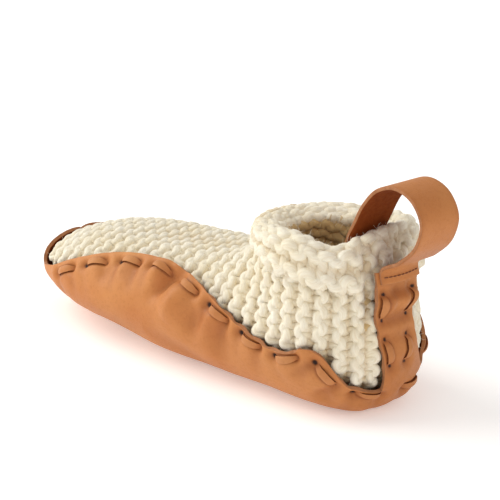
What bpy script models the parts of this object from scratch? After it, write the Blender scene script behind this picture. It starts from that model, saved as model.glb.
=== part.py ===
"""Knitted house slipper with a leather wrap sole, a heel tab and a pull loop.

Metres, +X towards the toe, +Y towards the wearer's left, +Z up. The origin is on the floor,
under the centre of the heel. Both sides of the XZ plane are alike, apart from the leather's hem.
The form is a row of rings. Each ring runs from a low point, on the sole line or up the back
of the heel, round the side and over to a top point on the instep or at the collar's front.
"""

import functools
import math

import bmesh
import bpy
import numpy as np

# Driving dimensions of the knitted foot
LENGTH = 0.250
BALL_WIDTH = 0.093
HEEL_WIDTH = 0.077
INSTEP_HEIGHT = 0.060
COLLAR_HEIGHT = 0.084
HEEL_CENTRE_SHARE = 0.115
KNIT_WALL = 0.0045

# Leather wrap sole and its fit
LEATHER = 0.0018
KNIT_GAP = 0.0008
PRESS = 0.0014
SOLE_START = 0.008
HEEL_RISE = 0.032

# Opening under the foot, which the sole closes
SLOT_SHARE = 0.12
SLOT_START = 0.16
SLOT_END = 0.62

# Folded cuff
CUFF_LOW = 0.906
CUFF_THICK = 0.0058
CUFF_TUCKED = 0.0032
CUFF_INSIDE = 0.0046
CUFF_INSIDE_SHARE = 0.45
CUFF_CROWN = 0.0052

# Insole
INSOLE_THICK = 0.0025
INSOLE_SHARE = 0.25
INSOLE_START = 0.05
INSOLE_END = 0.73

# Pull loop
STRAP_WIDTH = 0.025
STRAP_THICK = 0.0019
STRAP_GAP = 0.0008
STRAP_START = 0.930
STRAP_END = 0.950
LOOP_RISE = 0.033
LOOP_REACH = 0.033

# Lace, a flat leather thong in a running stitch
LACE_BODY_COUNT = 10
LACE_TAB_COUNT = 2
LACE_WIDTH = 0.0042
LACE_THICK = 0.0013
LACE_GAP = 0.0004
LACE_INSET = 0.0055
LACE_SHARE = 0.56
LACE_START = 0.160
LACE_END_SHARE = 0.008
LACE_TAB_INSET = 0.0040

# Resolution of the meshes
KNIT_STATIONS = 40
KNIT_COLUMNS = 36
SOLE_STATIONS = 36
SOLE_COLUMNS = 12
TAB_STATIONS = 14
TAB_COLUMNS = 3
RING_SAMPLES = 64
STRAP_SAMPLES = 28
STRAP_COLUMNS = 4
INSOLE_STATIONS = 16

# Rings of the forefoot, from the toe tip back to the instep. Columns: place along the form,
# top x and low x as shares of LENGTH from the heel's back, top z as a share of INSTEP_HEIGHT,
# low z above the sole line as a share of INSTEP_HEIGHT, half width as a share of BALL_WIDTH,
# height of the widest point as a share of the ring, squareness below and above it, and how
# far up the half girth the leather climbs on the left and on the right.
FOREFOOT = (
    # along  top_x  low_x  top_z  low_z  half   widest low_sq top_sq left  right
    (0.000, 0.9960, 0.9960, 0.380, 0.285, 0.020, 0.50, 2.0, 2.0, 0.45, 0.62),
    (0.040, 0.9800, 0.9800, 0.600, 0.190, 0.240, 0.50, 2.0, 2.1, 0.48, 0.76),
    (0.085, 0.9420, 0.9420, 0.700, 0.155, 0.340, 0.49, 2.0, 2.1, 0.50, 0.79),
    (0.140, 0.8800, 0.8800, 0.755, 0.115, 0.418, 0.47, 2.0, 2.1, 0.53, 0.73),
    (0.230, 0.7780, 0.7730, 0.810, 0.060, 0.487, 0.45, 2.0, 2.2, 0.63, 0.62),
    (0.330, 0.6450, 0.6400, 0.870, 0.020, 0.500, 0.44, 2.1, 2.2, 0.725, 0.58),
    (0.430, 0.5130, 0.4920, 0.938, 0.000, 0.492, 0.45, 2.3, 2.1, 0.735, 0.57),
    (0.510, 0.4230, 0.3600, 1.000, 0.000, 0.470, 0.45, 2.3, 2.0, 0.68, 0.56),
)
# Rings of the heel and ankle, which fan out behind the instep. Heights are shares of
# COLLAR_HEIGHT and half widths are shares of HEEL_WIDTH.
ANKLE = (
    # along  top_x  low_x  top_z  low_z  half   widest low_sq top_sq left  right
    (0.580, 0.3720, 0.2370, 0.770, 0.000, 0.527, 0.45, 2.3, 2.0, 0.59, 0.54),
    (0.650, 0.3580, 0.1200, 0.812, 0.000, 0.512, 0.44, 2.3, 2.0, 0.505, 0.505),
    (0.710, 0.3490, 0.0430, 0.840, 0.030, 0.508, 0.42, 2.2, 2.0, 0.45, 0.45),
    (0.760, 0.3410, 0.0110, 0.864, 0.136, 0.503, 0.41, 2.1, 2.0, 0.38, 0.38),
    (0.810, 0.3340, 0.0020, 0.886, 0.324, 0.496, 0.41, 2.0, 2.0, 0.36, 0.36),
    (0.860, 0.3270, 0.0080, 0.908, 0.555, 0.478, 0.42, 2.0, 2.0, 0.36, 0.36),
    (0.930, 0.3200, 0.0190, 0.940, 0.785, 0.456, 0.44, 2.0, 2.0, 0.36, 0.36),
    (1.000, 0.3150, 0.0330, 0.972, 0.990, 0.438, 0.46, 2.0, 2.0, 0.36, 0.36),
)
# Heel tab, from its neck to its top. Columns: place along the form, half width as a share of
# the half girth.
TAB = (
    # along  half
    (0.768, 0.062),
    (0.800, 0.064),
    (0.845, 0.088),
    (0.880, 0.104),
    (0.952, 0.104),
)
# The free part of the strap seen from the side, from the tab's top, out and over, to the
# inside of the collar. Columns: shares of LOOP_REACH behind the rim and of LOOP_RISE above it.
STRAP_ROUTE = (
    # behind  above
    (0.62, -0.08),
    (0.96, 0.26),
    (1.04, 0.58),
    (0.86, 0.88),
    (0.52, 1.00),
    (0.18, 0.90),
    (-0.10, 0.62),
    (-0.26, 0.34),
)

SOLE_LINE = LEATHER + KNIT_GAP


def smooth_through(knots, values, slopes, at):
    """Smooth curve through a short table, a cubic between each pair of rows."""
    i = int(np.clip(np.searchsorted(knots, at) - 1, 0, len(knots) - 2))
    span = knots[i + 1] - knots[i]
    u = (at - knots[i]) / span
    a, b = values[i], values[i + 1]
    return (
        a * (1 + 2 * u) * (1 - u) ** 2
        + slopes[i] * span * u * (1 - u) ** 2
        + b * u * u * (3 - 2 * u)
        - slopes[i + 1] * span * u * u * (1 - u)
    )


def form_table():
    """Both tables in metres: along, top x, low x, top z, low z, half width and the shape shares."""
    rows = []
    for table, height, width in ((FOREFOOT, INSTEP_HEIGHT, BALL_WIDTH), (ANKLE, COLLAR_HEIGHT, HEEL_WIDTH)):
        for along, top_x, low_x, top_z, low_z, half, widest, low_sq, top_sq, left, right in table:
            x_shift = HEEL_CENTRE_SHARE
            low = SOLE_LINE - PRESS + low_z * (height + PRESS)
            rows.append(
                (
                    along,
                    (top_x - x_shift) * LENGTH,
                    (low_x - x_shift) * LENGTH,
                    SOLE_LINE + top_z * height,
                    low,
                    half * width,
                    widest,
                    low_sq,
                    top_sq,
                    left,
                    right,
                )
            )
    return np.array(rows)


FORM = form_table()
ALONG, TOP_X, LOW_X, TOP_Z, LOW_Z, HALF, WIDEST, LOW_SQ, TOP_SQ, LEFT, RIGHT = range(11)
FORM_SLOPES = np.gradient(FORM, FORM[:, ALONG], axis=0)


def form_at(column, along):
    return smooth_through(FORM[:, ALONG], FORM[:, column], FORM_SLOPES[:, column], along)


@functools.lru_cache(maxsize=None)
def half_ring(along):
    """Closely spaced points of the left half of one ring, and each one's share of its length."""
    low = np.array([form_at(LOW_X, along), 0.0, form_at(LOW_Z, along)])
    top = np.array([form_at(TOP_X, along), 0.0, form_at(TOP_Z, along)])
    widest = form_at(WIDEST, along)
    turn = np.linspace(0.0, math.pi, RING_SAMPLES)
    below = turn <= math.pi / 2
    power = np.where(below, 2.0 / form_at(LOW_SQ, along), 2.0 / form_at(TOP_SQ, along))
    rise = np.abs(np.cos(turn)) ** power
    height = np.where(below, widest * (1 - rise), widest + (1 - widest) * rise)
    side = form_at(HALF, along) * np.sin(turn) ** power
    points = low + np.outer(height, top - low) + np.outer(side, (0.0, 1.0, 0.0))
    steps = np.linalg.norm(np.diff(points, axis=0), axis=1)
    shares = np.concatenate(([0.0], np.cumsum(steps))) / steps.sum()
    return points, shares, steps.sum()


def half_girth(along):
    return half_ring(along)[2]


def form_point(along, share):
    """Point of the knit's outside. Share runs from 0 at the low point to 1 at the top; the right side is negative."""
    share = (share + 1) % 2 - 1
    points, shares, _ = half_ring(min(max(along, 0.0), 1.0))
    found = np.array([np.interp(abs(share), shares, points[:, k]) for k in range(3)])
    found[1] = math.copysign(found[1], share)
    return found


def form_normal(along, share):
    """Unit normal that points out of the form."""
    step_along, step_share = 0.004, 0.012
    a, b = max(along - step_along, 0.0), min(along + step_along, 1.0)
    forward = form_point(a, share) - form_point(b, share)
    across = form_point(along, share + step_share) - form_point(along, share - step_share)
    normal = np.cross(across, forward)
    return normal / np.linalg.norm(normal)


def skin_point(along, share, distance):
    """Point at a distance outside the knit, pressed flat where it would pass its own level at the floor."""
    point = form_point(along, share) + form_normal(along, share) * distance
    point[2] = max(point[2], SOLE_LINE - distance)
    return point


TAB_ALONG, TAB_HALF = np.array(TAB).T
TAB_SLOPES = np.gradient(TAB_HALF, TAB_ALONG)
NECK, TAB_TOP = TAB_ALONG[0], TAB_ALONG[-1]


def ramp(value, start, end):
    """Smooth step from 0 at the start to 1 at the end."""
    u = min(max((value - start) / (end - start), 0.0), 1.0)
    return u * u * (3 - 2 * u)


def tab_half(along):
    return smooth_through(TAB_ALONG, TAB_HALF, TAB_SLOPES, along)


def heel_rise(along, share):
    """How much higher than its row a point of the leather lies, towards the sides of the heel."""
    return HEEL_RISE * ramp(along, NECK - 0.09, NECK) * ramp(abs(share), 0.16, 0.30)


def sole_shares(along, side):
    """Shares of one row of the leather, from the centre to the edge: the tab's columns, then the rest."""
    reach = form_at(side, along)
    even = reach * TAB_COLUMNS / SOLE_COLUMNS
    inner = even + (TAB_HALF[0] - even) * ramp(along, NECK - 0.16, NECK)
    return [inner * j / TAB_COLUMNS for j in range(TAB_COLUMNS + 1)] + [
        inner + (reach - inner) * j / (SOLE_COLUMNS - TAB_COLUMNS)
        for j in range(1, SOLE_COLUMNS - TAB_COLUMNS + 1)
    ]


def cuff_outside(share):
    """Thickness of the cuff's outer leg: it is pressed thinner where the heel tab crosses it."""
    return CUFF_TUCKED + (CUFF_THICK - CUFF_TUCKED) * ramp(abs(share), 0.12, 0.26)


def sole_lift(along):
    """How far the leather stands off the knit: at the tab's top it passes over the cuff."""
    return KNIT_GAP + (KNIT_GAP + CUFF_TUCKED) * ramp(along, CUFF_LOW - 0.035, CUFF_LOW - 0.005)


def material(name, colour, roughness):
    made = bpy.data.materials.new(name)
    made.use_nodes = True
    shader = made.node_tree.nodes["Principled BSDF"]
    shader.inputs["Base Color"].default_value = (*colour, 1.0)
    shader.inputs["Roughness"].default_value = roughness
    shader.inputs["Metallic"].default_value = 0.0
    return made


def add_object(name, mesh, parts, finish):
    made = bpy.data.objects.new(name, mesh)
    parts.objects.link(made)
    mesh.materials.append(finish)
    mesh.shade_smooth()
    mesh.set_sharp_from_angle(angle=math.radians(40))
    return made


def loft(name, rows, closed=False, skip=None):
    """Quads between rows of points. Closed rows join up, and skip(i, j) leaves out a quad."""
    shape = bmesh.new()
    grid = [[shape.verts.new(point) for point in row] for row in rows]
    columns = len(rows[0])
    for i in range(len(rows) - 1):
        for j in range(columns if closed else columns - 1):
            if skip and skip(i, j):
                continue
            k = (j + 1) % columns
            shape.faces.new((grid[i][j], grid[i + 1][j], grid[i + 1][k], grid[i][k]))
    loose = [v for v in shape.verts if not v.link_faces]
    bmesh.ops.delete(shape, geom=loose, context="VERTS")
    mesh = bpy.data.meshes.new(name)
    shape.to_mesh(mesh)
    shape.free()
    return mesh


def thicken(made, thickness, offset=-1.0):
    """Wall of a thickness: inward at offset -1, outward at 1 and to both sides at 0."""
    wall = made.modifiers.new("wall", "SOLIDIFY")
    wall.thickness = thickness
    wall.offset = offset
    wall.use_even_offset = False
    wall.use_quality_normals = True


def knit_upper(parts, finish):
    """Hollow knitted foot: open at the collar, and underneath where the sole closes it."""
    stations = [0.006] + list(np.linspace(0.03, 1.0, KNIT_STATIONS))
    shares = [-1 + 2 * j / KNIT_COLUMNS for j in range(KNIT_COLUMNS)]
    rows = [[skin_point(a, s, 0.0) for s in shares] for a in stations]

    def in_slot(i, j):
        middle = abs(shares[j] + 1 / KNIT_COLUMNS)
        return SLOT_START < stations[i] and stations[i + 1] < SLOT_END and middle < SLOT_SHARE

    mesh = loft("knit_upper", rows, closed=True, skip=in_slot)
    shape = bmesh.new()
    shape.from_mesh(mesh)
    tip = [e for e in shape.edges if e.is_boundary and min(v.co.x for v in e.verts) > LENGTH * 0.8]
    bmesh.ops.contextual_create(shape, geom=tip)
    bmesh.ops.recalc_face_normals(shape, faces=shape.faces)
    shape.to_mesh(mesh)
    shape.free()
    thicken(add_object("knit_upper", mesh, parts, finish), KNIT_WALL)


def leather_sole(parts, finish):
    """One piece of leather: sole, side lobes and the tab up the back of the heel."""
    rows = []
    for along in np.linspace(SOLE_START, NECK, SOLE_STATIONS):
        left, right = sole_shares(along, LEFT), sole_shares(along, RIGHT)
        shares = [-s for s in reversed(right[1:])] + left
        rows.append([skin_point(along + heel_rise(along, s), s, KNIT_GAP + LEATHER) for s in shares])
    corner = SOLE_COLUMNS - TAB_COLUMNS
    for along in np.linspace(NECK, TAB_TOP, TAB_STATIONS)[1:]:
        shares = [tab_half(along) * j / TAB_COLUMNS for j in range(-TAB_COLUMNS, TAB_COLUMNS + 1)]
        tab = [skin_point(along, s, sole_lift(along) + LEATHER) for s in shares]
        rows.append([tab[0]] * corner + tab + [tab[-1]] * corner)

    def beside_tab(i, j):
        return i >= SOLE_STATIONS - 1 and not corner <= j < corner + 2 * TAB_COLUMNS

    mesh = loft("leather_sole", rows, skip=beside_tab)
    thicken(add_object("leather_sole", mesh, parts, finish), LEATHER)


def collar_cuff(parts, finish):
    """Band folded over the rim: a long leg outside and a short one inside the collar."""
    shares = [-1 + 2 * j / KNIT_COLUMNS for j in range(KNIT_COLUMNS)]
    inside = -KNIT_WALL - KNIT_GAP
    rows = []
    for share in shares:
        rim, normal = form_point(1.0, share), form_normal(1.0, share)
        up = rim - form_point(0.97, share)
        up /= np.linalg.norm(up)
        outside = KNIT_GAP + cuff_outside(share)
        legs_middle = (outside + inside - CUFF_INSIDE) / 2
        half_span = (outside - inside + CUFF_INSIDE) / 2
        height = 1.0 - CUFF_LOW
        section = [skin_point(1 - height * f, share, d) for f, d in (
            (0.97, KNIT_GAP), (1.0, KNIT_GAP + 0.45 * cuff_outside(share)), (0.93, outside),
            (0.6, outside), (0.25, outside))]
        for turn in np.linspace(0.0, math.pi, 6):
            across = legs_middle + half_span * math.cos(turn)
            section.append(rim + normal * across + up * (CUFF_CROWN * math.sin(turn) + KNIT_GAP))
        low = CUFF_INSIDE_SHARE * height
        section += [skin_point(1 - low, share, d) for d in (inside - CUFF_INSIDE, inside)]
        section += [rim + normal * d + up * KNIT_GAP for d in (inside, KNIT_GAP)]
        section.append(skin_point(1 - 0.5 * height, share, KNIT_GAP))
        rows.append(section)
    rows.append(rows[0])
    mesh = loft("collar_cuff", rows, closed=True)
    shape = bmesh.new()
    shape.from_mesh(mesh)
    bmesh.ops.remove_doubles(shape, verts=shape.verts, dist=1e-6)
    bmesh.ops.recalc_face_normals(shape, faces=shape.faces)
    shape.to_mesh(mesh)
    shape.free()
    add_object("collar_cuff", mesh, parts, finish)


def insole(parts, finish):
    """Pad that lies on the knit's floor, up to the start of the sides."""
    rows = []
    for along in np.linspace(INSOLE_START, INSOLE_END, INSOLE_STATIONS):
        narrow = 1 - ramp(along, INSOLE_END - 0.10, INSOLE_END + 0.02) * 0.6
        shares = np.linspace(-INSOLE_SHARE, INSOLE_SHARE, 7) * narrow
        rows.append([skin_point(along, s, -KNIT_WALL - KNIT_GAP) for s in shares])
    thicken(add_object("insole", loft("insole", rows), parts, finish), INSOLE_THICK)


def skin_row(along, distance, sides):
    """Points of a skin at one ring, at given distances to the side of the middle."""
    shares = np.linspace(0.0, 0.45, 46)
    reached = [skin_point(along, s, distance)[1] for s in shares]
    found = np.interp(np.abs(sides), reached, shares) * np.sign(sides)
    return [skin_point(along, s, distance) for s in found]


def strap_rows():
    """Middle layer of the strap: sewn to the tab, free above the rim, and laid against the cuff inside."""
    half = STRAP_GAP + STRAP_THICK / 2
    inside = -KNIT_WALL - KNIT_GAP - CUFF_INSIDE - half
    sides = np.linspace(-STRAP_WIDTH / 2, STRAP_WIDTH / 2, STRAP_COLUMNS + 1)
    rim = form_point(1.0, 0.0)
    route = [skin_row(a, sole_lift(a) + LEATHER + half, sides) for a in (STRAP_START, TAB_TOP)]
    for behind, above in STRAP_ROUTE:
        x, z = rim[0] - LOOP_REACH * behind, rim[2] + LOOP_RISE * above
        route.append([(x, y, z) for y in sides])
    route += [skin_row(a, inside, sides) for a in (1.0, STRAP_END)]
    route = np.array(route)
    middle = route[:, STRAP_COLUMNS // 2]
    run = np.concatenate(([0.0], np.cumsum(np.linalg.norm(np.diff(middle, axis=0), axis=1))))
    slopes = np.gradient(route, run, axis=0)
    return [smooth_through(run, route, slopes, t) for t in np.linspace(0.0, run[-1], STRAP_SAMPLES)]


def pull_loop(parts, finish):
    """Strap from the heel tab, out and over the cuff, and down inside the collar."""
    thicken(add_object("pull_loop", loft("pull_loop", strap_rows()), parts, finish), STRAP_THICK, 0.0)


def lace_lines(side):
    """Lines inside the leather's edge: from the toe round the heel's corner, and up the tab.

    Each gives places along the form and shares.
    """
    low = LACE_INSET / LENGTH
    body = np.linspace(LACE_START, NECK - low, 160)
    hem = [(a + heel_rise(a, 0.3), form_at(side, a) - LACE_INSET / half_girth(a)) for a in body]
    for share in np.linspace(hem[-1][1], LACE_END_SHARE, 40)[1:]:
        hem.append((NECK + heel_rise(NECK, share) - low * (0.5 + 0.5 * ramp(share, 0.10, 0.25)), share))
    climb = np.linspace(NECK + low, STRAP_START, 40)
    tab = [(a, tab_half(a) - LACE_TAB_INSET / half_girth(a)) for a in climb]
    return (hem, LACE_BODY_COUNT), (tab, LACE_TAB_COUNT)


def lace_places(line, count):
    """For each stitch of a line, five places along its length."""
    points = np.array([form_point(a, s) for a, s in line])
    steps = np.linalg.norm(np.diff(points, axis=0), axis=1)
    run = np.concatenate(([0.0], np.cumsum(steps)))
    along, share = np.array(line).T
    pitch = run[-1] / count
    for k in range(count):
        at = (k + 0.5) * pitch + np.linspace(-0.5, 0.5, 5) * LACE_SHARE * pitch
        yield list(zip(np.interp(at, run, along), np.interp(at, run, share)))


def lace_rows(places, sign):
    """Pairs of points across one stitch, on the outside of the leather."""
    middle = np.array([form_point(a, s) for a, s in places])
    rows = []
    for (along, share), point, ahead in zip(places, middle, np.gradient(middle, axis=0)):
        normal = form_normal(along, share)
        across = np.cross(normal, ahead)
        across *= LACE_WIDTH / 2 / np.linalg.norm(across)
        seat = point + normal * (sole_lift(along) + LEATHER + LACE_GAP)
        rows.append([(seat - across * sign) * (1, sign, 1), (seat + across * sign) * (1, sign, 1)])
    return rows


def lace_stitches(parts, finish):
    """Visible stitches of the lace, each a bar that lies on the leather."""
    for name, side, sign in (("left", LEFT, 1), ("right", RIGHT, -1)):
        stitches = [places for line, count in lace_lines(side) for places in lace_places(line, count)]
        for k, places in enumerate(stitches):
            bar = f"lace_{name}_{k + 1:02d}"
            thicken(add_object(bar, loft(bar, lace_rows(places, sign)), parts, finish), LACE_THICK, 1.0)


def main():
    for old in list(bpy.data.objects):
        bpy.data.objects.remove(old)
    parts = bpy.data.collections.new("house_slipper")
    bpy.context.scene.collection.children.link(parts)
    wool = material("cream_wool", (0.82, 0.76, 0.62), 0.95)
    tan = material("tan_leather", (0.62, 0.30, 0.13), 0.5)
    brown = material("brown_leather", (0.36, 0.16, 0.07), 0.6)
    knit_upper(parts, wool)
    leather_sole(parts, tan)
    collar_cuff(parts, wool)
    insole(parts, brown)
    pull_loop(parts, tan)
    lace_stitches(parts, tan)


main()
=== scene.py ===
# %% [markdown]
# # A knitted house slipper in a leather wrap
#
# The real slipper is knitted from one thick, soft yarn, and a single piece of tan leather is
# then laced round it with a flat thong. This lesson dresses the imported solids: the knit becomes
# real loops of yarn, the leather gets its gathers and holes, and the lace becomes a soft thong.
# Everything is in metres, +X to the toe, +Y to the wearer's left and +Z up.

import math

import bmesh
import bpy
import numpy as np
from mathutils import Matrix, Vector
from mathutils.bvhtree import BVHTree


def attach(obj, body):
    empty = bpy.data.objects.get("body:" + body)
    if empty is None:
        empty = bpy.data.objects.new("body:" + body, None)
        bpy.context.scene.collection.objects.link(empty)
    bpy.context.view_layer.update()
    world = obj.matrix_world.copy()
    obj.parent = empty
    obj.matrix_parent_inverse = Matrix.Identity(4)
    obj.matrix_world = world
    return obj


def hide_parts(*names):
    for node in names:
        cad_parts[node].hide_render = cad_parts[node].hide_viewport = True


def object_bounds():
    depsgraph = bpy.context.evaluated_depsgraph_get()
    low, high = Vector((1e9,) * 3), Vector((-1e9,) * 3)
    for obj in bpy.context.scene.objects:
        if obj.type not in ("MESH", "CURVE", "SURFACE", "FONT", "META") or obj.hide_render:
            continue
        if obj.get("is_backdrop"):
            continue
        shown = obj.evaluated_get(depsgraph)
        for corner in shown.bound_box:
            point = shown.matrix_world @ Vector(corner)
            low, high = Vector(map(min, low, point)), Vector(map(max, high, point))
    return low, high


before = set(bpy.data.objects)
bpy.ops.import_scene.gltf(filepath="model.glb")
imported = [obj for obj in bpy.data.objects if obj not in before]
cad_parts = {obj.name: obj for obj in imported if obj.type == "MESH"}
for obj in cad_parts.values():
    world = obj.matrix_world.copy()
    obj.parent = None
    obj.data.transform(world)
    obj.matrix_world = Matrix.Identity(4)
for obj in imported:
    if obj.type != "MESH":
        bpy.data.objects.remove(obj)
cad_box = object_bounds()
rng = np.random.default_rng(11)
print("solids:", len(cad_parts), "box:", [round(x, 4) for x in (*cad_box[0], *cad_box[1])])

# %% [markdown]
# ## The last
#
# A shoemaker shapes a slipper over a last. Ours is a row of rings, the ones that the solids were
# lofted from, so that yarn and leather can be laid on it to a fraction of a millimetre. Only the
# top of the toe is up to 3 mm lower here, as the real slipper's is. A mesh could be read back from
# the solids, but a ring table gives every point an address: how far along the foot it lies, and
# how far round the ring. Yarn and lace need that address.

# %% Sizes and rings of the last
LENGTH = 0.250
BALL_WIDTH = 0.093
HEEL_WIDTH = 0.077
INSTEP_HEIGHT = 0.060
COLLAR_HEIGHT = 0.084
HEEL_CENTRE_SHARE = 0.115
KNIT_WALL = 0.0045
LEATHER = 0.0018
KNIT_GAP = 0.0008
PRESS = 0.0014
SOLE_LINE = LEATHER + KNIT_GAP

# Columns: place along the last, top x and low x as shares of the length, top z and low z as
# shares of the height, half width as a share of the width, height of the widest point, squareness
# below and above it, and how far up the half girth the leather climbs on the left and the right.
FOREFOOT = (
    # along  top_x  low_x  top_z  low_z  half   widest low_sq top_sq left  right
    (0.000, 0.9960, 0.9960, 0.380, 0.285, 0.020, 0.50, 2.0, 2.0, 0.45, 0.62),
    (0.040, 0.9800, 0.9800, 0.555, 0.190, 0.240, 0.50, 2.0, 2.1, 0.48, 0.76),
    (0.085, 0.9420, 0.9420, 0.648, 0.155, 0.340, 0.49, 2.0, 2.1, 0.50, 0.79),
    (0.140, 0.8800, 0.8800, 0.728, 0.115, 0.418, 0.47, 2.0, 2.1, 0.53, 0.73),
    (0.230, 0.7780, 0.7730, 0.810, 0.060, 0.487, 0.45, 2.0, 2.2, 0.63, 0.62),
    (0.330, 0.6450, 0.6400, 0.870, 0.020, 0.500, 0.44, 2.1, 2.2, 0.725, 0.58),
    (0.430, 0.5130, 0.4920, 0.938, 0.000, 0.492, 0.45, 2.3, 2.1, 0.735, 0.57),
    (0.510, 0.4230, 0.3600, 1.000, 0.000, 0.470, 0.45, 2.3, 2.0, 0.68, 0.56),
)
ANKLE = (
    # along  top_x  low_x  top_z  low_z  half   widest low_sq top_sq left  right
    (0.580, 0.3720, 0.2370, 0.770, 0.000, 0.527, 0.45, 2.3, 2.0, 0.59, 0.54),
    (0.650, 0.3580, 0.1200, 0.812, 0.000, 0.512, 0.44, 2.3, 2.0, 0.505, 0.505),
    (0.710, 0.3490, 0.0430, 0.840, 0.030, 0.508, 0.42, 2.2, 2.0, 0.45, 0.45),
    (0.760, 0.3410, 0.0110, 0.864, 0.136, 0.503, 0.41, 2.1, 2.0, 0.38, 0.38),
    (0.810, 0.3340, 0.0020, 0.886, 0.324, 0.496, 0.41, 2.0, 2.0, 0.36, 0.36),
    (0.860, 0.3270, 0.0080, 0.908, 0.555, 0.478, 0.42, 2.0, 2.0, 0.36, 0.36),
    (0.930, 0.3200, 0.0190, 0.940, 0.785, 0.456, 0.44, 2.0, 2.0, 0.36, 0.36),
    (1.000, 0.3150, 0.0330, 0.972, 0.990, 0.438, 0.46, 2.0, 2.0, 0.36, 0.36),
)
ALONG, TOP_X, LOW_X, TOP_Z, LOW_Z, HALF, WIDEST, LOW_SQ, TOP_SQ, LEFT, RIGHT = range(11)


def form_table():
    rows = []
    for table, height, width in ((FOREFOOT, INSTEP_HEIGHT, BALL_WIDTH), (ANKLE, COLLAR_HEIGHT, HEEL_WIDTH)):
        for row in table:
            row = list(row)
            row[TOP_X] = (row[TOP_X] - HEEL_CENTRE_SHARE) * LENGTH
            row[LOW_X] = (row[LOW_X] - HEEL_CENTRE_SHARE) * LENGTH
            row[TOP_Z] = SOLE_LINE + row[TOP_Z] * height
            row[LOW_Z] = SOLE_LINE - PRESS + row[LOW_Z] * (height + PRESS)
            row[HALF] *= width
            rows.append(row)
    return np.array(rows)


def smooth_through(knots, values, at):
    """Smooth curve through a short table, a cubic between each pair of rows."""
    at = np.asarray(at, float)
    slopes = np.gradient(values, knots, axis=0)
    i = np.clip(np.searchsorted(knots, at) - 1, 0, len(knots) - 2)
    span = knots[i + 1] - knots[i]
    u = (at - knots[i]) / span
    if values.ndim > 1:
        span, u = span[..., None], u[..., None]
    return (
        values[i] * (1 + 2 * u) * (1 - u) ** 2
        + slopes[i] * span * u * (1 - u) ** 2
        + values[i + 1] * u * u * (3 - 2 * u)
        - slopes[i + 1] * span * u * u * (1 - u)
    )


FORM = form_table()


def form_at(column, along):
    return smooth_through(FORM[:, ALONG], FORM[:, column], along)


print("rings in the table:", len(FORM))

# %% The last as one fine grid of points and normals
GRID_ROWS = 401
GRID_COLUMNS = 480
RING_SAMPLES = 96


def half_ring(along):
    """Left half of one ring, from its low point to its top, at even shares, and its length."""
    low = np.array([form_at(LOW_X, along), 0.0, form_at(LOW_Z, along)])
    top = np.array([form_at(TOP_X, along), 0.0, form_at(TOP_Z, along)])
    widest = form_at(WIDEST, along)
    turn = np.linspace(0.0, math.pi, RING_SAMPLES)
    below = turn <= math.pi / 2
    power = np.where(below, 2.0 / form_at(LOW_SQ, along), 2.0 / form_at(TOP_SQ, along))
    rise = np.abs(np.cos(turn)) ** power
    height = np.where(below, widest * (1 - rise), widest + (1 - widest) * rise)
    side = form_at(HALF, along) * np.sin(turn) ** power
    points = low + np.outer(height, top - low) + np.outer(side, (0.0, 1.0, 0.0))
    steps = np.linalg.norm(np.diff(points, axis=0), axis=1)
    shares = np.concatenate(([0.0], np.cumsum(steps))) / steps.sum()
    even = np.linspace(0.0, 1.0, GRID_COLUMNS // 2 + 1)
    return np.stack([np.interp(even, shares, points[:, k]) for k in range(3)], 1), steps.sum()


GRID_ALONG = np.linspace(0.0, 1.0, GRID_ROWS)
GRID_SHARE = -1 + 2 * np.arange(GRID_COLUMNS) / GRID_COLUMNS
halves, GIRTH = zip(*(half_ring(a) for a in GRID_ALONG))
mirrored = np.abs(np.arange(GRID_COLUMNS) - GRID_COLUMNS // 2)
SKIN = np.array(halves)[:, mirrored] * np.stack(
    [np.ones(GRID_COLUMNS), np.where(GRID_SHARE < 0, -1.0, 1.0), np.ones(GRID_COLUMNS)], 1
)
SKIN_OUT = np.cross(np.roll(SKIN, -1, 1) - np.roll(SKIN, 1, 1), -np.gradient(SKIN, axis=0))
SKIN_OUT /= np.linalg.norm(SKIN_OUT, axis=2, keepdims=True)


def on_form(along, share, lift=0.0):
    """Points at a lift above the knit's skin, pressed flat at the floor, and the skin's normals."""
    a = np.clip(along, 0.0, 1.0) * (GRID_ROWS - 1)
    s = (np.asarray(share, float) + 1) % 2 / 2 * GRID_COLUMNS
    a, s, lift = np.broadcast_arrays(a, s, np.asarray(lift, float))
    i = np.minimum(a.astype(int), GRID_ROWS - 2)
    j = s.astype(int)
    u, w = (a - i)[..., None], (s - j)[..., None]
    j, k = j % GRID_COLUMNS, (j + 1) % GRID_COLUMNS

    def between(grid):
        near = (1 - w) * grid[i, j] + w * grid[i, k]
        far = (1 - w) * grid[i + 1, j] + w * grid[i + 1, k]
        return (1 - u) * near + u * far

    out = between(SKIN_OUT)
    out /= np.linalg.norm(out, axis=-1, keepdims=True)
    points = between(SKIN) + out * lift[..., None]
    points[..., 2] = np.maximum(points[..., 2], SOLE_LINE - lift)
    return points, out


def ramp(value, start, end):
    """Smooth step from 0 at the start to 1 at the end."""
    u = np.clip((np.asarray(value, float) - start) / (end - start), 0.0, 1.0)
    return u * u * (3 - 2 * u)


print("last: girth at the ball", round(2 * max(GIRTH), 4), "grid", SKIN.shape)

# %% [markdown]
# ## Sheets, strands and finishes
#
# Leather and linings start as a flat grid of quads that is laid on the last, as a cutter's
# pattern is. Its UV map keeps the flat pattern. Yarn and thread are curves with a round bevel:
# a curve needs only its centre line, and a swept mesh would need every ring worked out.

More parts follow.
